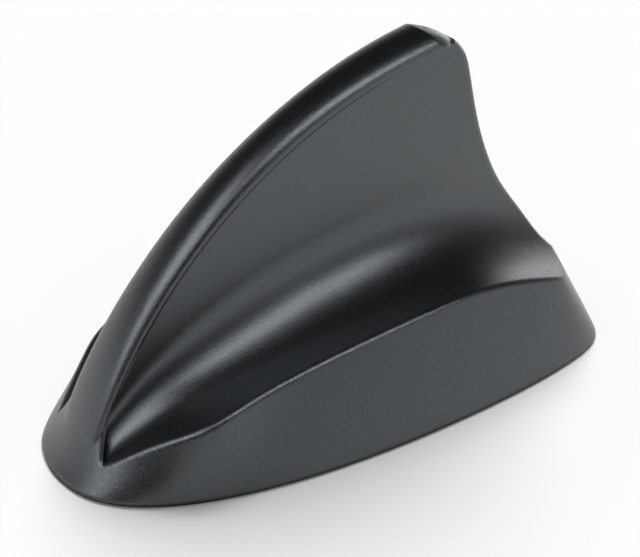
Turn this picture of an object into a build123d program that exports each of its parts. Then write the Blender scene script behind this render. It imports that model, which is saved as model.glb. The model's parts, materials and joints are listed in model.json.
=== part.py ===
from build123d import *
from math import atan2, cos, hypot, pi, sin, sqrt
import os

os.makedirs("parts", exist_ok=True)

# Sizes in millimetres. The nose points to -X, the aerial is even about Y = 0 and stands on Z = 0.
# Fractions marked "of the length" run back from the nose; the others are of the height or of the half width.

# Driving sizes of the fin
LENGTH = 128.0
WIDTH = 65.1
HEIGHT = 70.0
WALL = 2.0
SKIRT_WALL = 1.1 * WALL

# Skirt: the outline is a superellipse, blunter at the tail, and leans in as it rises
WIDEST_AT = 0.664
NOSE_POWER = 2.346
TAIL_POWER = 2.82
SIDE_LEAN = 0.45
TAIL_LEAN = 0.58
# boat tail: share of the half width, and how far back from the widest place to the tail
TAIL_ROWS = [(0.811, 0.751), (0.685, 0.814), (0.507, 0.892), (0.30, 0.961), (0.12, 0.994)]
# sides near the nose, more upright: how far from its round to FRONT_END, and share of the lean
FRONT_ROWS = [(0.28, 0.72), (0.60, 0.86)]
FRONT_END = 0.352
# height, set back behind the spine, depth and half width of the nose's rounded front
NOSE_ROWS = [
    (0.0, 0.0, 0.0117, 0.255),
    (0.086, -0.0016, 0.0156, 0.258),
    (0.172, 0.0012, 0.0141, 0.184),
    (0.258, 0.0028, 0.0141, 0.175),
    (0.358, 0.0040, 0.0148, 0.169),
]
# the hollow starts behind a solid nose and has a blunter front
NOSE_SOLID = 0.075
ROOM_DEPTH = 0.05
ROOM_ROWS = []
for height, back, depth, half in NOSE_ROWS:
    ROOM_ROWS.append((height, back + NOSE_SOLID, ROOM_DEPTH, 2 * half))

# Spine: three points of its lower edge as (of the length, of the height) set the arc that it follows
SPINE_FOOT = (0.0538, 0.0887)
SPINE_MIDDLE = (0.2923, 0.6410)
SPINE_TIP = (0.7217, 0.9503)
SPINE_EDGE = 0.5
# along the arc from foot to tip: half width and crown height
SPINE_ROWS = [
    (-0.06, 0.174, 0.017),
    (0.02, 0.188, 0.021),
    (0.12, 0.182, 0.0242),
    (0.27, 0.164, 0.0292),
    (0.43, 0.156, 0.0345),
    (0.58, 0.153, 0.0394),
    (0.72, 0.159, 0.0440),
    (0.86, 0.168, 0.0486),
    (1.00, 0.176, 0.0532),
    (1.16, 0.178, 0.0566),
]

# Scoops: floor height, half width of the web between them, and radius of the bend that joins the two
SCOOP_ROWS = [
    (-0.047, 0.080, 0.160, 0.080),
    (0.058, 0.087, 0.160, 0.110),
    (0.141, 0.176, 0.157, 0.215),
    (0.200, 0.215, 0.153, 0.279),
    (0.266, 0.243, 0.150, 0.338),
    (0.430, 0.290, 0.147, 0.415),
    (0.617, 0.312, 0.147, 0.445),
    (0.766, 0.276, 0.147, 0.445),
    (0.867, 0.220, 0.147, 0.445),
    (0.969, 0.158, 0.147, 0.430),
    (1.063, 0.100, 0.147, 0.430),
]
WEB_LEAN = 0.003
WEB_FROM = 0.31
SHOULDER_RADIUS = 1.2

# Trailing edge from above the spine, round the tip and down to the tail
TRAILING = [
    (0.547, 1.024),
    (0.620, 1.003),
    (0.668, 0.985),
    (0.708, 0.950),
    (0.7315, 0.900),
    (0.7425, 0.843),
    (0.7600, 0.725),
    (0.7875, 0.587),
    (0.8175, 0.480),
    (0.8530, 0.382),
    (0.8800, 0.303),
    (0.9080, 0.222),
    (0.9453, 0.200),
]
TRAILING_RADIUS = 1.5
# across the half width: how far the spine's end is cut back
TIP_DOME = [(0.0, 0.0), (0.06, 0.15), (0.11, 0.6), (0.15, 1.4), (0.19, 2.8), (0.30, 7.5)]
TIP_DIMPLE_RADIUS = 0.45
TIP_DIMPLE_DEPTH = 0.6
TIP_DIMPLE_AT = 0.672
TIP_DIMPLE_TOP = 0.985

# Underside stack
SEAL_LIP = 0.6
SEAL_SINK = 0.6
PLATE_UNDER = 1.2
PLATE_THICK = 2.5
PLATE_CLEAR = 0.3
SEAL_BAND = 9.0
RIM_SEAL_WIDTH = 1.6
RIM_SEAL_HEIGHT = 1.5
RIM_SEAL_CLEAR = 0.15

# Fixings
BOLT_SPACING = 56.0
BOLT_HOLE_RADIUS = 2.1
BOLT_HOLE_DEPTH = 6.6
BOLT_BOSS_RADIUS = 5.5
WASHER_THICK = 0.45
WASHER_HOLE_RADIUS = 2.8
WASHER_STANDS = 0.05
COVER_SCREW_RADIUS = 1.25
COVER_SCREW_LENGTH = 8.0
COVER_HEAD_RADIUS = 2.6
COVER_HEAD_HEIGHT = 1.1
COVER_HEAD_CLEAR = 0.3
COVER_BOSS_RADIUS = 3.2
COVER_BOSSES = [(0.27, 0.54), (0.78, 0.60)]
BOARD_SCREW_RADIUS = 0.95
BOARD_SCREW_LENGTH = 4.6
BOARD_HEAD_RADIUS = 2.1
BOARD_HEAD_HEIGHT = 1.5
BOARD_POST_RADIUS = 2.6
BOARD_SCREW_CLEAR = 0.35
BOARD_POST_INSET = 3.6

# Boards and aerial elements
BOARD_UNDER = 8.0
BOARD_THICK = 1.6
BOARD_FRONT = 0.205
BOARD_BACK = 0.855
BOARD_HALF = 13.0
BOARD_CORNER = 3.0
PATCH_SIDE = 18.0
PATCH_THICK = 4.0
PATCH_AT = 0.365
PAD_THICK = 0.4
PIN_RADIUS = 0.5
PIN_HEAD_RADIUS = 1.0
PIN_HEAD_HEIGHT = 0.25
PIN_TAIL = 0.7
PIN_OFFSET = 2.0
CAN_LENGTH = 20.0
CAN_WIDTH = 9.5
CAN_HEIGHT = 3.2
CAN_SKIN = 0.3
CAN_AT = 0.60
CAN_ACROSS = 7.4
# amplifier's parts: place along and across the can, length, width and height
CHIP_ROWS = [
    (-0.28, 0.0, 4.0, 4.0, 0.9),
    (0.06, 0.12, 3.0, 1.6, 0.6),
    (0.06, -0.20, 2.0, 1.2, 0.6),
    (0.30, 0.0, 3.2, 2.5, 1.1),
]
CHOKE_AT = 0.60
CHOKE_ACROSS = -7.0
CHOKE_RADIUS = 4.0
CHOKE_CORE_RADIUS = 2.0
CHOKE_FLANGE = 0.9
CHOKE_HEIGHT = 5.6
CHOKE_WIND_RADIUS = 3.4
FIN_BOARD_THICK = 1.0
FIN_BOARD_FRONT = 0.475
FIN_BOARD_BACK = 0.725
FIN_BOARD_TOP_GAP = 4.0
FIN_BOARD_LEAN = 0.06
BRACKET_LENGTH = 5.0
BRACKET_HEIGHT = 5.0
BRACKET_FOOT = 2.0
BRACKET_SKIN = 0.4
BRACKETS_AT = [0.505, 0.69]
TOP_LOAD_SKIN = 0.3
TOP_LOAD_DEPTH = 6.0
FOAM_LENGTH = 10.0
FOAM_HEIGHT = 8.0
FOAM_THICK = 1.2
FOAM_AT = (0.60, 0.62)

# Lead exit and breather
LEAD_RADIUS = 3.0
GROMMET_RADIUS = 5.5
GROMMET_FLANGE = 7.2
GROMMET_LIP = 0.7
GROMMET_TOP = 1.4
LEAD_AT = 0.50
VENT_RADIUS = 1.5
VENT_DISC_RADIUS = 3.2
VENT_DISC_THICK = 0.35
VENT_AT = 0.585
VENT_ACROSS = 12.0

HALF_WIDTH = WIDTH / 2
FAR = LENGTH * 1.5
PLATE_TOP = PLATE_UNDER + PLATE_THICK
BOARD_TOP = BOARD_UNDER + BOARD_THICK


def along(fraction):
    """Frame X of a fraction of the length."""
    return (fraction - 0.5) * LENGTH


def circle_through(a, b, c):
    """Centre and radius of the circle through three points of the side view."""
    d = 2 * (a[0] * (b[1] - c[1]) + b[0] * (c[1] - a[1]) + c[0] * (a[1] - b[1]))
    a2, b2, c2 = (p[0] ** 2 + p[1] ** 2 for p in (a, b, c))
    x = (a2 * (b[1] - c[1]) + b2 * (c[1] - a[1]) + c2 * (a[1] - b[1])) / d
    z = (a2 * (c[0] - b[0]) + b2 * (a[0] - c[0]) + c2 * (b[0] - a[0])) / d
    return x, z, hypot(a[0] - x, a[1] - z)


spine_points = [(along(f), h * HEIGHT) for f, h in (SPINE_FOOT, SPINE_MIDDLE, SPINE_TIP)]
SPINE_X, SPINE_Z, SPINE_RADIUS = circle_through(*spine_points)
FOOT_ANGLE, TIP_ANGLE = (atan2(z - SPINE_Z, SPINE_X - x) for x, z in spine_points[::2])


def spine_front(z, radius):
    """Frame X of the front of a circle about the spine's axis at height z."""
    return SPINE_X - sqrt(radius ** 2 - (z - SPINE_Z) ** 2)


def half_width(x):
    """Half width of the skirt's outline on the ground at frame X."""
    middle = along(WIDEST_AT)
    if x < middle:
        reach, power = middle - along(0), NOSE_POWER
    else:
        reach, power = along(1) - middle, TAIL_POWER
    u = min(1.0, abs(x - middle) / reach)
    return HALF_WIDTH * (1 - u ** power) ** (1 / power)


def chords(points):
    """Distances from each point of a row to the next."""
    return [hypot(q[0] - p[0], q[1] - p[1]) for p, q in zip(points, points[1:])]


def paced(points):
    """Spline parameters of a row of points, by the distances between them."""
    steps = chords(points)
    return [sum(steps[:i]) / sum(steps) for i in range(len(points))]


def outline_points(row, inset):
    """Points of the skirt's half outline at one of its rows, moved in by inset, from the nose to the tail."""
    height, set_back, depth, front_half = row
    z = height * HEIGHT
    lean = SIDE_LEAN * z + inset
    crown = NOSE_ROWS[1][2] * LENGTH
    nose = spine_front(z, SPINE_RADIUS + crown) if z > 0 else along(0)
    nose += set_back * LENGTH + inset
    tail = along(1) - TAIL_LEAN * z - inset
    middle = along(WIDEST_AT)
    start = nose + depth * LENGTH
    front_half = front_half * HALF_WIDTH - 0.6 * inset
    points = [(nose, 0), (nose + depth * LENGTH / 4, front_half / 2), (start, front_half)]
    for part, upright in FRONT_ROWS:
        x = start + part * (along(FRONT_END) - start)
        points.append((x, half_width(x) - upright * SIDE_LEAN * z - inset))
    for x in (along(FRONT_END), along(0.508), middle, along(0.82)):
        points.append((x, half_width(x) - lean))
    for share, back in TAIL_ROWS:
        points.append((middle + back * (tail - middle), share * (HALF_WIDTH - lean)))
    return points + [(tail, 0)]


def outline_face(row, lowest, inset):
    """Face of one row of the skirt, its spline paced like the lowest row's."""
    knots = paced(outline_points(lowest, inset))
    points = outline_points(row, inset)
    pull = sum(chords(points))
    side = Edge.make_spline(points, tangents=[(0, pull), (0, -pull)], parameters=knots, scale=False)
    return Pos(0, 0, row[0] * HEIGHT) * make_face([side, side.mirror(Plane.XZ)])


def skirt(rows=NOSE_ROWS, inset=0.0):
    """Leaning base of the fin, from the ground to above its shoulders."""
    return loft([outline_face(row, rows[0], inset) for row in rows])


def scoop_section(fraction, floor, web, bend, inset):
    """Section across the fin, wider than the skirt: scoop floor, bend and web, with its mirror image."""
    x = along(fraction)
    z = floor * HEIGHT - inset
    w = web * HALF_WIDTH - inset
    r = bend * HALF_WIDTH + inset
    top, below, out = HEIGHT * 1.17, -0.07 * HEIGHT, HALF_WIDTH * 1.2
    k = r * cos(pi / 4)
    bend_low = (w + r, z)
    bend_mid = (w + r - k, z + r - k)
    bend_high = (w, z + r)
    web_top = (w - WEB_LEAN * (top - z - r), top)
    edges = [
        Line((0, below), (out, below)),
        Line((out, below), (out, z)),
        Line((out, z), bend_low),
        ThreePointArc(bend_low, bend_mid, bend_high),
        Line(bend_high, web_top),
        Line(web_top, (0, top)),
    ]
    edges += [edge.mirror(Plane.YZ) for edge in reversed(edges)]
    plane = Plane(origin=(x, 0, 0), x_dir=(0, 1, 0), z_dir=(1, 0, 0))
    return plane * make_face(edges)


def scooped(inset=0.0):
    """Everything under the scooped flanks, longer and wider than the fin."""
    return loft([scoop_section(*row, inset) for row in SCOOP_ROWS])


def spine_section(share, half, crown):
    """Section of the spine in a plane through its axis."""
    angle = FOOT_ANGLE + share * (TIP_ANGLE - FOOT_ANGLE)
    radial = Vector(-cos(angle), 0, sin(angle))
    plane = Plane(origin=(SPINE_X, 0, SPINE_Z), x_dir=radial, z_dir=radial.cross(Vector(0, 1, 0)))
    w = half * HALF_WIDTH
    low, edge = SPINE_RADIUS, SPINE_RADIUS + SPINE_EDGE
    crown_edge = EllipticalCenterArc((edge, 0), crown * HEIGHT, w, start_angle=-90, arc_size=180)
    sides = [Line((low, -w), (edge, -w)), Line((edge, w), (low, w)), Line((low, w), (low, -w))]
    return plane * make_face([crown_edge] + sides)


def spine():
    """Crowned spine over the web, from under the nose to past the tip."""
    return loft([spine_section(*row) for row in SPINE_ROWS])


def spine_drum(radius):
    """Cylinder about the spine's axis."""
    return Pos(SPINE_X, 0, SPINE_Z) * Rot(90, 0, 0) * Cylinder(radius, FAR)


def side_face(inset):
    """Side view ahead of the trailing edge, moved in by inset."""
    points = [(along(f), h * HEIGHT) for f, h in TRAILING]
    knots = paced(points)
    points = [(x - 0.8 * inset, z - 0.65 * inset) for x, z in points]
    first, last = points[0], points[-1]
    low, front, back = -0.1 * HEIGHT, along(-0.1), along(1.1)
    corners = [last, (back, last[1]), (back, low), (front, low), (front, first[1]), first]
    lines = [Line(a, b) for a, b in zip(corners, corners[1:])]
    return Plane.XZ * make_face([Edge.make_spline(points, parameters=knots)] + lines)


def side_view(half_thickness, inset=0.0):
    """Side view as a slab of the given half thickness."""
    return Pos(0, half_thickness, 0) * extrude(side_face(inset), amount=2 * half_thickness)


def tip_dome():
    """Side view whose trailing edge falls away to both sides, for the end of the spine."""
    rows = [(-across, cut) for across, cut in reversed(TIP_DOME[1:])] + TIP_DOME
    return loft([Pos(0, across * HALF_WIDTH, 0) * side_face(cut) for across, cut in rows])


def layer(shape, bottom, height):
    """What of a shape lies between two heights."""
    return shape & Pos(0, 0, bottom + height / 2) * Box(FAR, FAR, height)


def web(inset=0.0):
    """Upright web of the fin, from below the skirt's top up into the spine."""
    slab = side_view(0.36 * HALF_WIDTH, inset) & spine_drum(SPINE_RADIUS + SPINE_EDGE / 2 - inset)
    return layer(slab, WEB_FROM * HEIGHT, HEIGHT)


def fin_form():
    """Outer form of the moulded fin."""
    flanks = scooped()
    air = Pos(0, 0, HEIGHT / 2) * Box(1.3 * LENGTH, 1.15 * WIDTH, 1.2 * HEIGHT) - flanks
    low = skirt() - (air & spine_drum(SPINE_RADIUS))
    body = (low + (web() & flanks)) & side_view(HALF_WIDTH + 1)
    back_edges = []
    for edge in body.faces().filter_by(GeomType.EXTRUSION).edges():
        middle = edge.position_at(0.5)
        if middle.Z > WEB_FROM * HEIGHT and abs(middle.Y) > 1:
            back_edges.append(edge)
    body = fillet(back_edges, TRAILING_RADIUS)
    shoulders = []
    for edge in body.edges().sort_by(Axis.Y):
        rise = edge.position_at(0.5).Z / HEIGHT
        if edge.length > LENGTH / 2 and 0.2 < rise < WEB_FROM:
            shoulders.append(edge)
    body = fillet([shoulders[0], shoulders[-1]], SHOULDER_RADIUS)
    return layer(body + (spine() & tip_dome()), SEAL_LIP, FAR)


def fin_room(inset):
    """Space in the fin behind its solid nose, the outer form moved in by inset."""
    flanks = scooped(inset)
    low = skirt(ROOM_ROWS, inset * SKIRT_WALL / WALL) & flanks
    return (low + (web(inset) & flanks)) & side_view(HALF_WIDTH, inset)


def disc(x, y, bottom, height, radius):
    """Upright cylinder standing at the given height."""
    return Pos(x, y, bottom + height / 2) * Cylinder(radius, height)


def block(x, y, bottom, size):
    """Box standing at the given height."""
    return Pos(x, y, bottom + size[2] / 2) * Box(*size)


def outline_slab(row, inset, bottom, height):
    """Slab with the outline of a row of the skirt moved in by inset."""
    face = outline_face(row, row, inset)
    return Pos(0, 0, bottom) * extrude(face, amount=height)


cover_spots = [(along(f), s * w * HALF_WIDTH) for f, w in COVER_BOSSES for s in (1, -1)]
post_x = [along(BOARD_FRONT) + BOARD_POST_INSET, along(BOARD_BACK) - BOARD_POST_INSET]
post_spots = [(x, s * (BOARD_HALF - BOARD_POST_INSET)) for x in post_x for s in (1, -1)]
bolt_spots = [(s * BOLT_SPACING / 2, 0) for s in (1, -1)]
lead_x, vent_x = along(LEAD_AT), along(VENT_AT)

# Moulded fin with its screw bosses and the dimple at the tip
form = fin_form()
fin_housing = form - fin_room(WALL)
for x, y in cover_spots:
    boss = disc(x, y, PLATE_TOP, 0.3 * HEIGHT, COVER_BOSS_RADIUS) & form
    fin_housing += boss
for x, y in cover_spots:
    fin_housing -= disc(x, y, PLATE_TOP, COVER_SCREW_LENGTH, COVER_SCREW_RADIUS)
dimple_floor = TIP_DIMPLE_TOP * HEIGHT - TIP_DIMPLE_DEPTH
fin_housing -= disc(along(TIP_DIMPLE_AT), 0, dimple_floor, HEIGHT, TIP_DIMPLE_RADIUS)

# Die-cast base plate: bolt bosses, board posts, counterbored screw holes, lead and vent holes
base_plate = layer(skirt(ROOM_ROWS, SKIRT_WALL + PLATE_CLEAR), PLATE_UNDER, PLATE_THICK)
boss_low = WASHER_STANDS + WASHER_THICK
for x, y in bolt_spots:
    base_plate += disc(x, y, boss_low, BOARD_UNDER - boss_low, BOLT_BOSS_RADIUS)
for x, y in post_spots:
    base_plate += disc(x, y, PLATE_TOP, BOARD_UNDER - PLATE_TOP, BOARD_POST_RADIUS)
for x, y in bolt_spots:
    base_plate -= disc(x, y, boss_low, BOLT_HOLE_DEPTH, BOLT_HOLE_RADIUS)
screw_tip = BOARD_TOP - BOARD_SCREW_LENGTH
for x, y in post_spots:
    base_plate -= disc(x, y, screw_tip, BOARD_UNDER - screw_tip, BOARD_SCREW_RADIUS)
head_top = PLATE_UNDER + COVER_HEAD_HEIGHT + 0.1
for x, y in cover_spots:
    base_plate -= disc(x, y, 0, PLATE_TOP, COVER_SCREW_RADIUS + COVER_HEAD_CLEAR)
    base_plate -= disc(x, y, 0, head_top, COVER_HEAD_RADIUS + COVER_HEAD_CLEAR)
base_plate -= disc(lead_x, 0, 0, PLATE_TOP, GROMMET_RADIUS)
base_plate -= disc(vent_x, VENT_ACROSS, 0, PLATE_TOP, VENT_RADIUS)

# Rubber seals: a stepped band under the plate and the fin's rim, and a cord round the top of the plate
roof_seal = outline_slab(NOSE_ROWS[0], SEAL_SINK, 0, SEAL_LIP)
roof_seal += layer(skirt(ROOM_ROWS, SKIRT_WALL + PLATE_CLEAR), 0, PLATE_UNDER)
roof_seal -= outline_slab(ROOM_ROWS[0], SKIRT_WALL + PLATE_CLEAR + SEAL_BAND, 0, PLATE_UNDER)
rim_seal = layer(skirt(ROOM_ROWS, SKIRT_WALL + RIM_SEAL_CLEAR), PLATE_TOP, RIM_SEAL_HEIGHT)
rim_inner = SKIRT_WALL + RIM_SEAL_CLEAR + RIM_SEAL_WIDTH + SIDE_LEAN * PLATE_TOP
rim_seal -= outline_slab(ROOM_ROWS[0], rim_inner, PLATE_TOP, RIM_SEAL_HEIGHT)

# Screws
cover_screws = []
for x, y in cover_spots:
    head = disc(x, y, head_top - COVER_HEAD_HEIGHT, COVER_HEAD_HEIGHT, COVER_HEAD_RADIUS)
    head -= disc(x, y, 0, head_top - COVER_HEAD_HEIGHT / 2, COVER_HEAD_RADIUS / 3)
    shank = disc(x, y, head_top, PLATE_TOP + COVER_SCREW_LENGTH - head_top, COVER_SCREW_RADIUS)
    cover_screws.append(head + shank)
board_screws = []
for x, y in post_spots:
    head = disc(x, y, BOARD_TOP, BOARD_HEAD_HEIGHT, BOARD_HEAD_RADIUS)
    head -= disc(x, y, BOARD_TOP + BOARD_HEAD_HEIGHT / 2, BOARD_HEAD_HEIGHT, BOARD_HEAD_RADIUS / 3)
    board_screws.append(head + disc(x, y, screw_tip, BOARD_SCREW_LENGTH, BOARD_SCREW_RADIUS))
earth_washers = []
for x, y in bolt_spots:
    washer = disc(x, y, WASHER_STANDS, WASHER_THICK, BOLT_BOSS_RADIUS)
    earth_washers.append(washer - disc(x, y, 0, PLATE_UNDER, WASHER_HOLE_RADIUS))

# Amplifier board and what stands on it
board_length = along(BOARD_BACK) - along(BOARD_FRONT)
board_middle = (along(BOARD_BACK) + along(BOARD_FRONT)) / 2
main_board = block(board_middle, 0, BOARD_UNDER, (board_length, 2 * BOARD_HALF, BOARD_THICK))
main_board = fillet(main_board.edges().filter_by(Axis.Z), BOARD_CORNER)
for x, y in post_spots:
    main_board -= disc(x, y, BOARD_UNDER, BOARD_THICK, BOARD_SCREW_RADIUS + BOARD_SCREW_CLEAR)
patch_x = along(PATCH_AT)
pin_x = patch_x + PIN_OFFSET
patch_bottom = BOARD_TOP + PAD_THICK
patch_top = patch_bottom + PATCH_THICK
patch_pad = block(patch_x, 0, BOARD_TOP, (PATCH_SIDE, PATCH_SIDE, PAD_THICK))
gnss_patch = block(patch_x, 0, patch_bottom, (PATCH_SIDE, PATCH_SIDE, PATCH_THICK))
pin_low = BOARD_UNDER - PIN_TAIL
patch_pin = disc(pin_x, 0, pin_low, patch_top - pin_low, PIN_RADIUS)
patch_pin += disc(pin_x, 0, patch_top, PIN_HEAD_HEIGHT, PIN_HEAD_RADIUS)
pin_hole = disc(pin_x, 0, 0, patch_top, PIN_RADIUS)
main_board -= pin_hole
patch_pad -= pin_hole
gnss_patch -= pin_hole

can_x = along(CAN_AT)
shield_can = block(can_x, CAN_ACROSS, BOARD_TOP, (CAN_LENGTH, CAN_WIDTH, CAN_HEIGHT))
can_inside = (CAN_LENGTH - 2 * CAN_SKIN, CAN_WIDTH - 2 * CAN_SKIN, CAN_HEIGHT - CAN_SKIN)
shield_can -= block(can_x, CAN_ACROSS, BOARD_TOP, can_inside)
amplifier_parts = []
for back, across, size_x, size_y, tall in CHIP_ROWS:
    spot = (can_x + back * CAN_LENGTH, CAN_ACROSS + across * CAN_WIDTH)
    amplifier_parts.append(block(*spot, BOARD_TOP, (size_x, size_y, tall)))

choke_x = along(CHOKE_AT)
choke_core = disc(choke_x, CHOKE_ACROSS, BOARD_TOP, CHOKE_HEIGHT, CHOKE_RADIUS)
wind_low = BOARD_TOP + CHOKE_FLANGE
wind_tall = CHOKE_HEIGHT - 2 * CHOKE_FLANGE
choke_core -= disc(choke_x, CHOKE_ACROSS, wind_low, wind_tall, CHOKE_RADIUS)
choke_core += disc(choke_x, CHOKE_ACROSS, BOARD_TOP, CHOKE_HEIGHT, CHOKE_CORE_RADIUS)
choke_winding = disc(choke_x, CHOKE_ACROSS, wind_low, wind_tall, CHOKE_WIND_RADIUS)
choke_winding -= disc(choke_x, CHOKE_ACROSS, wind_low, wind_tall, CHOKE_CORE_RADIUS)

# Upright aerial board with its brackets, folded top load and foam pads
front, back = along(FIN_BOARD_FRONT), along(FIN_BOARD_BACK)
lean = FIN_BOARD_LEAN * HEIGHT
corners = [(front, BOARD_TOP), (back, BOARD_TOP), (back - lean, HEIGHT), (front, HEIGHT)]
fin_face = Plane.XZ * make_face(Polyline(*corners, close=True))
fin_board = extrude(fin_face, amount=FIN_BOARD_THICK / 2, both=True)
board_rim = SPINE_RADIUS - FIN_BOARD_TOP_GAP
fin_board &= spine_drum(board_rim)
load_half = FIN_BOARD_THICK / 2 + TOP_LOAD_SKIN
load_x = front + 0.6 * (back - front)
load_zone = Pos(load_x, 0, HEIGHT) * Box(0.5 * (back - front), 2 * load_half, HEIGHT)
top_load = (spine_drum(board_rim + TOP_LOAD_SKIN) - spine_drum(board_rim - TOP_LOAD_DEPTH)) & load_zone
top_load -= fin_board
board_brackets = []
for fraction in BRACKETS_AT:
    for side in (1, -1):
        leg_y = side * (FIN_BOARD_THICK + BRACKET_SKIN) / 2
        foot_y = side * (FIN_BOARD_THICK + BRACKET_FOOT) / 2
        leg = block(along(fraction), leg_y, BOARD_TOP, (BRACKET_LENGTH, BRACKET_SKIN, BRACKET_HEIGHT))
        foot = block(along(fraction), foot_y, BOARD_TOP, (BRACKET_LENGTH, BRACKET_FOOT, BRACKET_SKIN))
        board_brackets.append(leg + foot)
foam_pads = []
for side in (1, -1):
    pad_y = side * (FIN_BOARD_THICK + FOAM_THICK) / 2
    pad = block(along(FOAM_AT[0]), pad_y, FOAM_AT[1] * HEIGHT, (FOAM_LENGTH, FOAM_THICK, FOAM_HEIGHT))
    foam_pads.append(pad)

# Lead grommet and breather in the base plate
grommet_low = PLATE_UNDER - GROMMET_LIP
lead_grommet = disc(lead_x, 0, grommet_low, PLATE_TOP + GROMMET_TOP - grommet_low, GROMMET_RADIUS)
lead_grommet += disc(lead_x, 0, grommet_low, GROMMET_LIP, GROMMET_FLANGE)
lead_grommet += disc(lead_x, 0, PLATE_TOP, GROMMET_TOP, GROMMET_FLANGE)
lead_grommet -= disc(lead_x, 0, 0, HEIGHT, LEAD_RADIUS)
vent_membrane = disc(vent_x, VENT_ACROSS, PLATE_TOP, VENT_DISC_THICK, VENT_DISC_RADIUS)

pieces = {
    "fin_housing": fin_housing,
    "base_plate": base_plate,
    "roof_seal": roof_seal,
    "rim_seal": rim_seal,
    "cover_screws": Compound(children=cover_screws),
    "earth_washers": Compound(children=earth_washers),
    "main_board": main_board,
    "board_screws": Compound(children=board_screws),
    "patch_pad": patch_pad,
    "gnss_patch": gnss_patch,
    "patch_pin": patch_pin,
    "shield_can": shield_can,
    "amplifier_parts": Compound(children=amplifier_parts),
    "choke_core": choke_core,
    "choke_winding": choke_winding,
    "fin_board": fin_board,
    "board_brackets": Compound(children=board_brackets),
    "top_load": top_load,
    "foam_pads": Compound(children=foam_pads),
    "lead_grommet": lead_grommet,
    "vent_membrane": vent_membrane,
}
for name, piece in pieces.items():
    export_step(piece, f"parts/{name}.step")
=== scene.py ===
import json
import math

import bpy
from mathutils import Matrix, Quaternion, Vector

MM = 0.001

# Camera that matches the photograph: angles in degrees, lengths in millimetres
CAMERA_AZIMUTH = -35.295
CAMERA_ELEVATION = 32.322
CAMERA_DISTANCE = 238.55
CAMERA_AIM = (-2.474, 0.0, 20.996)
CAMERA_LENS = 66.3
CAMERA_NEAR = 10.0

# Point in millimetres that the lights and the card face
LIGHT_AIM = (0.0, 0.0, 25.0)
# Soft lights: place and side lengths in millimetres, roll in degrees, power in watts
SOFT_LIGHTS = {
    "strip_softbox": ((32, -216, 300), (365, 100), -36.6, 0.53),
    "nose_softbox": ((-694, 20, 560), (330, 800), 0.0, 2.5),
    "side_softbox": ((-205, -95, 210), (150, 110), 0.0, 0.14),
    "tail_softbox": ((300, 112, 78), (200, 90), 0.0, 0.085),
}
# Key light: place in millimetres, width in degrees, strength in watts per square metre
KEY_PLACE = (560, 626, 1150)
KEY_WIDTH = 40.0
KEY_STRENGTH = 2.62

# Black card and white floor, in millimetres
CARD_PLACE = (-475.0, -514.0, 215.0)
CARD_SIDES = (1120.0, 440.0)
CARD_COLOUR = (0.01, 0.01, 0.01)
CARD_ROUGHNESS = 0.9
FLOOR_SIZE = 8000.0
FLOOR_COLOUR = (0.965, 0.96, 0.95)

# Sky in three stops: sine of the height above the horizon and brightness there.
# The surroundings are what is seen directly or mirrored; the sky light falls on matt surfaces.
SURROUNDINGS = [(0.08, 1.0), (0.26, 0.4), (0.50, 0.02)]
SKY_LIGHT = [(0.0, 0.15), (0.45, 0.15), (0.60, 0.45)]

# Range that holds most of a noise texture's values, and its finer layers in colour and relief
NOISE_RANGE = (0.3, 0.7)
PATCH_DETAIL = 3
GRAIN_DETAIL = 2
BEVEL_SAMPLES = 8

# Finish of each of the record's materials, in the terms of surface()
FINISHES = {
    "grained_black_plastic": dict(
        spread=0.2, patch=0.7, roughness=(0.26, 0.38), grain=0.32, depth=0.032,
        specular=1.0, ior=1.55, tint=(0.87, 0.95, 1.0), round_edge=0.9, shade=0.2,
    ),
    "die_cast": dict(
        spread=0.10, patch=3, roughness=(0.40, 0.55), grain=0.5, depth=0.03, metal=1.0,
    ),
    "black_rubber": dict(
        spread=0.25, patch=4, roughness=(0.62, 0.80), grain=0.4, depth=0.015,
    ),
    "plated_steel": dict(
        spread=0.08, patch=1.5, roughness=(0.22, 0.36), grain=0.3, depth=0.006, metal=1.0,
    ),
    "green_board": dict(
        spread=0.18, patch=1.2, roughness=(0.30, 0.45), grain=0.8, depth=0.01,
    ),
    "black_foam": dict(
        spread=0.35, patch=0.8, roughness=(0.85, 0.95), grain=0.4, depth=0.12,
    ),
    "patch_ceramic": dict(
        spread=0.05, patch=2, roughness=(0.45, 0.60), grain=0.3, depth=0.008,
    ),
    "pin_brass": dict(
        spread=0.08, patch=0.8, roughness=(0.25, 0.40), grain=0.2, depth=0.004, metal=1.0,
    ),
    "tinned_steel": dict(
        spread=0.10, patch=2.5, roughness=(0.28, 0.44), grain=0.6, depth=0.006, metal=1.0,
    ),
    "chip_black": dict(
        spread=0.20, patch=0.6, roughness=(0.50, 0.65), grain=0.15, depth=0.006,
    ),
    "ferrite_grey": dict(
        spread=0.15, patch=0.8, roughness=(0.55, 0.70), grain=0.2, depth=0.01,
    ),
    "copper_wire": dict(
        spread=0.12, patch=0.6, roughness=(0.25, 0.38), grain=0.3, depth=0.02, metal=1.0,
    ),
    "copper_sheet": dict(
        spread=0.14, patch=2, roughness=(0.30, 0.45), grain=0.5, depth=0.005, metal=1.0,
    ),
    "white_membrane": dict(
        spread=0.04, patch=0.5, roughness=(0.80, 0.92), grain=0.2, depth=0.02,
    ),
}


def node(tree, kind, **values):
    """Shader node with its sockets set by name."""
    made = tree.nodes.new(kind)
    for name, value in values.items():
        made.inputs[name.replace("_", " ")].default_value = value
    return made


def noise(tree, size, detail):
    """Noise in the frame's own space with features of about the given size in millimetres."""
    place = tree.nodes.new("ShaderNodeTexCoord")
    made = node(tree, "ShaderNodeTexNoise", Scale=1 / (size * MM), Detail=detail)
    tree.links.new(place.outputs["Object"], made.inputs["Vector"])
    return made.outputs["Fac"]


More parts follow.
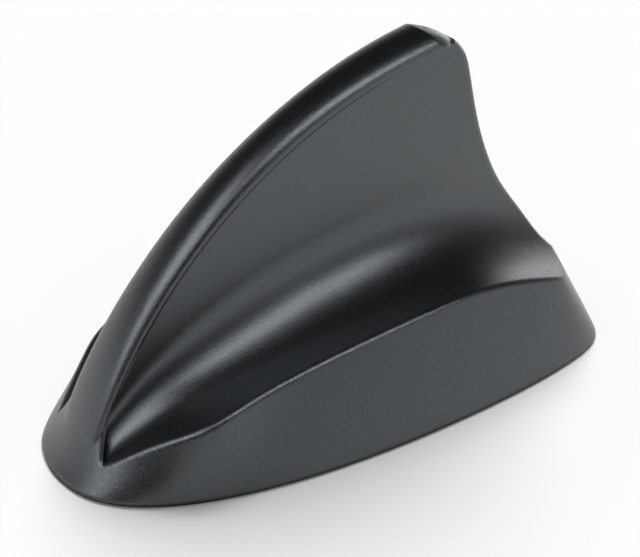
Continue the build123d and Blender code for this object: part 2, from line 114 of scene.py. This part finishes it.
def shades(tree, fac, colour, spread):
    """Colour that varies by the given share to both sides."""
    ramp = tree.nodes.new("ShaderNodeValToRGB")
    low, high = ramp.color_ramp.elements
    low.position, high.position = NOISE_RANGE
    low.color = [c * (1 - spread) for c in colour] + [1]
    high.color = [min(1.0, c * (1 + spread)) for c in colour] + [1]
    tree.links.new(fac, ramp.inputs["Fac"])
    return ramp.outputs["Color"]


def gloss(tree, fac, roughness):
    """Roughness that varies between two values."""
    spread = node(
        tree, "ShaderNodeMapRange",
        From_Min=NOISE_RANGE[0], From_Max=NOISE_RANGE[1],
        To_Min=roughness[0], To_Max=roughness[1],
    )
    tree.links.new(fac, spread.inputs["Value"])
    return spread.outputs["Result"]


def surface(
    name, colour, spread, patch, roughness, grain, depth,
    metal=0.0, specular=0.5, ior=1.5, tint=(1, 1, 1), round_edge=0.0, shade=1.0,
):
    """Surface with patchy colour and a fine grain in relief and gloss.

    patch, grain, depth and round_edge are in millimetres, and shade is the share of colour kept.
    """
    material = bpy.data.materials.new(name)
    material.use_nodes = True
    tree = material.node_tree
    shader = tree.nodes["Principled BSDF"]
    shader.inputs["Metallic"].default_value = metal
    shader.inputs["Specular IOR Level"].default_value = specular
    shader.inputs["IOR"].default_value = ior
    shader.inputs["Specular Tint"].default_value = (*tint, 1)
    kept = [c * shade for c in colour]
    patches = shades(tree, noise(tree, patch, PATCH_DETAIL), kept, spread)
    tree.links.new(patches, shader.inputs["Base Color"])
    relief = noise(tree, grain, GRAIN_DETAIL)
    tree.links.new(gloss(tree, relief, roughness), shader.inputs["Roughness"])
    bump = node(tree, "ShaderNodeBump", Strength=1.0, Distance=depth * MM)
    tree.links.new(relief, bump.inputs["Height"])
    if round_edge:
        bevel = node(tree, "ShaderNodeBevel", Radius=round_edge * MM)
        bevel.samples = BEVEL_SAMPLES
        tree.links.new(bevel.outputs["Normal"], bump.inputs["Normal"])
    tree.links.new(bump.outputs["Normal"], shader.inputs["Normal"])
    return material


def facing(place, roll=0.0):
    """Turn that points -Z from the given place to the aim, rolled by degrees about that line."""
    turn = (Vector(LIGHT_AIM) - Vector(place)).to_track_quat("-Z", "Y")
    return (turn @ Quaternion((0, 0, 1), math.radians(roll))).to_euler()


def lamp(light, place, roll=0.0):
    """Lamp at the given place that faces the part and is out of the picture."""
    made = bpy.data.objects.new(light.name, light)
    bpy.context.scene.collection.objects.link(made)
    made.location = Vector(place) * MM
    made.rotation_euler = facing(place, roll)
    made.visible_camera = False
    return made


def softbox(name, place, sides, roll, power):
    """Soft light that shows only in the part's gloss."""
    light = bpy.data.lights.new(name, "AREA")
    light.shape = "RECTANGLE"
    light.size = sides[0] * MM
    light.size_y = sides[1] * MM
    light.energy = power
    lamp(light, place, roll).visible_diffuse = False


def key_light():
    """Wide light from behind that gives the floor its shadow and shows in no gloss."""
    light = bpy.data.lights.new("key_light", "SUN")
    light.angle = math.radians(KEY_WIDTH)
    light.energy = KEY_STRENGTH
    lamp(light, KEY_PLACE).visible_glossy = False


def black_card():
    """Dark card behind the camera that shows only in the part's gloss."""
    bpy.ops.mesh.primitive_plane_add(
        size=1, location=Vector(CARD_PLACE) * MM, rotation=facing(CARD_PLACE),
    )
    card = bpy.context.object
    card.name = "black_card"
    card.scale = (CARD_SIDES[0] * MM, CARD_SIDES[1] * MM, 1)
    card.visible_camera = False
    card.visible_diffuse = False
    card.visible_shadow = False
    material = bpy.data.materials.new("card_black")
    material.use_nodes = True
    shader = material.node_tree.nodes["Principled BSDF"]
    shader.inputs["Base Color"].default_value = (*CARD_COLOUR, 1)
    shader.inputs["Roughness"].default_value = CARD_ROUGHNESS
    card.data.materials.append(material)


def floor():
    """Matt white floor that takes the part's shadow."""
    bpy.ops.mesh.primitive_plane_add(size=FLOOR_SIZE * MM)
    plane = bpy.context.object
    plane.name = "floor"
    material = bpy.data.materials.new("floor_white")
    material.use_nodes = True
    tree = material.node_tree
    tree.nodes.remove(tree.nodes["Principled BSDF"])
    matt = node(tree, "ShaderNodeBsdfDiffuse", Color=(*FLOOR_COLOUR, 1))
    tree.links.new(matt.outputs[0], tree.nodes["Material Output"].inputs["Surface"])
    plane.data.materials.append(material)


def seen_directly(tree):
    """1 for rays from the camera and those that a glossy or clear surface sends on, else 0."""
    path = tree.nodes.new("ShaderNodeLightPath")
    total = path.outputs["Is Camera Ray"]
    for ray in ("Is Glossy Ray", "Is Transmission Ray"):
        either = tree.nodes.new("ShaderNodeMath")
        either.operation = "MAXIMUM"
        tree.links.new(total, either.inputs[0])
        tree.links.new(path.outputs[ray], either.inputs[1])
        total = either.outputs["Value"]
    return total


def skylight(tree, height, stops):
    """Background whose brightness changes with the height above the horizon."""
    ramp = tree.nodes.new("ShaderNodeValToRGB")
    marks = ramp.color_ramp.elements
    # a new ramp has only its first and last mark
    marks.new(stops[1][0])
    for mark, (place, level) in zip(marks, stops):
        mark.position = place
        mark.color = (level, level, level, 1)
    tree.links.new(height, ramp.inputs["Fac"])
    sky = tree.nodes.new("ShaderNodeBackground")
    tree.links.new(ramp.outputs["Color"], sky.inputs["Color"])
    return sky.outputs[0]


def studio_world():
    """Soft light from above, and surroundings that look white at the horizon and dim overhead."""
    world = bpy.data.worlds.new("studio")
    bpy.context.scene.world = world
    world.use_nodes = True
    tree = world.node_tree
    place = tree.nodes.new("ShaderNodeTexCoord")
    split = tree.nodes.new("ShaderNodeSeparateXYZ")
    tree.links.new(place.outputs["Generated"], split.inputs[0])
    mix = tree.nodes.new("ShaderNodeMixShader")
    tree.links.new(seen_directly(tree), mix.inputs[0])
    tree.links.new(skylight(tree, split.outputs["Z"], SKY_LIGHT), mix.inputs[1])
    tree.links.new(skylight(tree, split.outputs["Z"], SURROUNDINGS), mix.inputs[2])
    tree.links.new(mix.outputs[0], tree.nodes["World Output"].inputs["Surface"])


def camera():
    """Camera at the photograph's place."""
    azimuth = math.radians(CAMERA_AZIMUTH)
    elevation = math.radians(CAMERA_ELEVATION)
    level = math.cos(elevation)
    back = Vector((math.sin(azimuth) * level, -math.cos(azimuth) * level, math.sin(elevation)))
    right = Vector((0, 0, 1)).cross(back).normalized()
    turn = Matrix((right, back.cross(right), back)).transposed().to_4x4()
    turn.translation = (Vector(CAMERA_AIM) + back * CAMERA_DISTANCE) * MM
    data = bpy.data.cameras.new("camera")
    data.lens = CAMERA_LENS
    data.clip_start = CAMERA_NEAR * MM
    lens = bpy.data.objects.new("camera", data)
    bpy.context.scene.collection.objects.link(lens)
    lens.matrix_world = turn
    bpy.context.scene.camera = lens


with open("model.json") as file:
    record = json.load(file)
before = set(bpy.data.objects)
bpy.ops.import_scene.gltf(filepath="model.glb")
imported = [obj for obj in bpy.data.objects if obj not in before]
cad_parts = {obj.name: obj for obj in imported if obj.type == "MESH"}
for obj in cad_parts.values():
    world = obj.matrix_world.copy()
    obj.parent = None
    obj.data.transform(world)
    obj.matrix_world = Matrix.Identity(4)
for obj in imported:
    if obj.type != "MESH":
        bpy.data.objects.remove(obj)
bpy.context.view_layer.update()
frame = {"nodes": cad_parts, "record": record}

materials = {}
for entry in frame["record"]["materials"]:
    name = entry["slot"]
    materials[name] = surface(name, entry["base_color"], **FINISHES[name])
for piece in frame["record"]["subparts"]:
    mesh = frame["nodes"][piece["node"]].data
    mesh.materials.clear()
    mesh.materials.append(materials[piece["material_slot"]])

floor()
black_card()
studio_world()
key_light()
for name, values in SOFT_LIGHTS.items():
    softbox(name, *values)
camera()
bpy.context.scene.view_settings.view_transform = "Standard"
